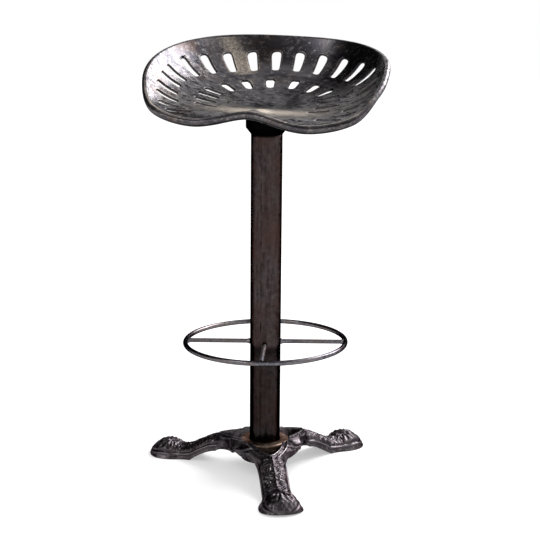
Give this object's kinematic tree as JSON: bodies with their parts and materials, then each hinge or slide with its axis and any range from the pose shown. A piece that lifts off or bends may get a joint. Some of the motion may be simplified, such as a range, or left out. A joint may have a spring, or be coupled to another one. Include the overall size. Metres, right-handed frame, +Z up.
{
  "type": "tractor seat stool",
  "caption": "Bar-height stool: slotted cast-iron tractor seat swivelling on a steel column with a round foot-rest ring, on a three-legged cast-iron base.",
  "frame": {"origin": "on the floor, under the middle of the whole outline", "axes": "+Z up, -Y towards the front of the seat, +X towards the sitter's left"},
  "size_m": [0.4796, 0.4428, 0.8469],
  "materials": {
    "cast_iron_seat": "lacquered, worn gunmetal grey with rust and pale patches",
    "cast_iron_base": "glossy lacquered dark brown-black casting",
    "cast_iron_collar": "worn brown casting with a bright edge",
    "column_steel": "dark browned steel tube with upright streaks",
    "ring_steel": "bare bright steel bar",
    "black_steel": "black painted steel",
    "zinc_steel": "zinc plated steel",
    "bronze": "bearing bronze"
  },
  "bodies": {
    "base": {"leg_front": "cast_iron_base", "leg_left": "cast_iron_base", "leg_right": "cast_iron_base", "hub_collar": "cast_iron_collar", "column_tube": "column_steel", "foot_ring": "ring_steel", "spoke_front": "ring_steel", "spoke_right": "ring_steel", "spoke_back": "ring_steel", "spoke_left": "ring_steel", "swivel_housing": "black_steel", "hub_plate": "black_steel", "column_foot_plug": "black_steel", "leg_screw_front": "zinc_steel", "leg_screw_left": "zinc_steel", "leg_screw_right": "zinc_steel", "base_washer": "zinc_steel", "base_bolt": "zinc_steel", "spindle_bushing": "bronze", "thrust_washer": "bronze"},
    "seat": {"seat_pan": "cast_iron_seat", "swivel_plate": "black_steel", "spindle": "zinc_steel", "spindle_washer": "zinc_steel", "spindle_nut": "zinc_steel", "seat_screw_back_left": "zinc_steel", "seat_screw_front_left": "zinc_steel", "seat_screw_front_right": "zinc_steel", "seat_screw_back_right": "zinc_steel"}
  },
  "joints": [
    {"name": "seat_swivel", "type": "hinge", "parent": "base", "child": "seat", "pos_m": [0.00774, 0.01596, 0.6958], "axis": [0, 0, 1], "continuous": true}
  ]
}
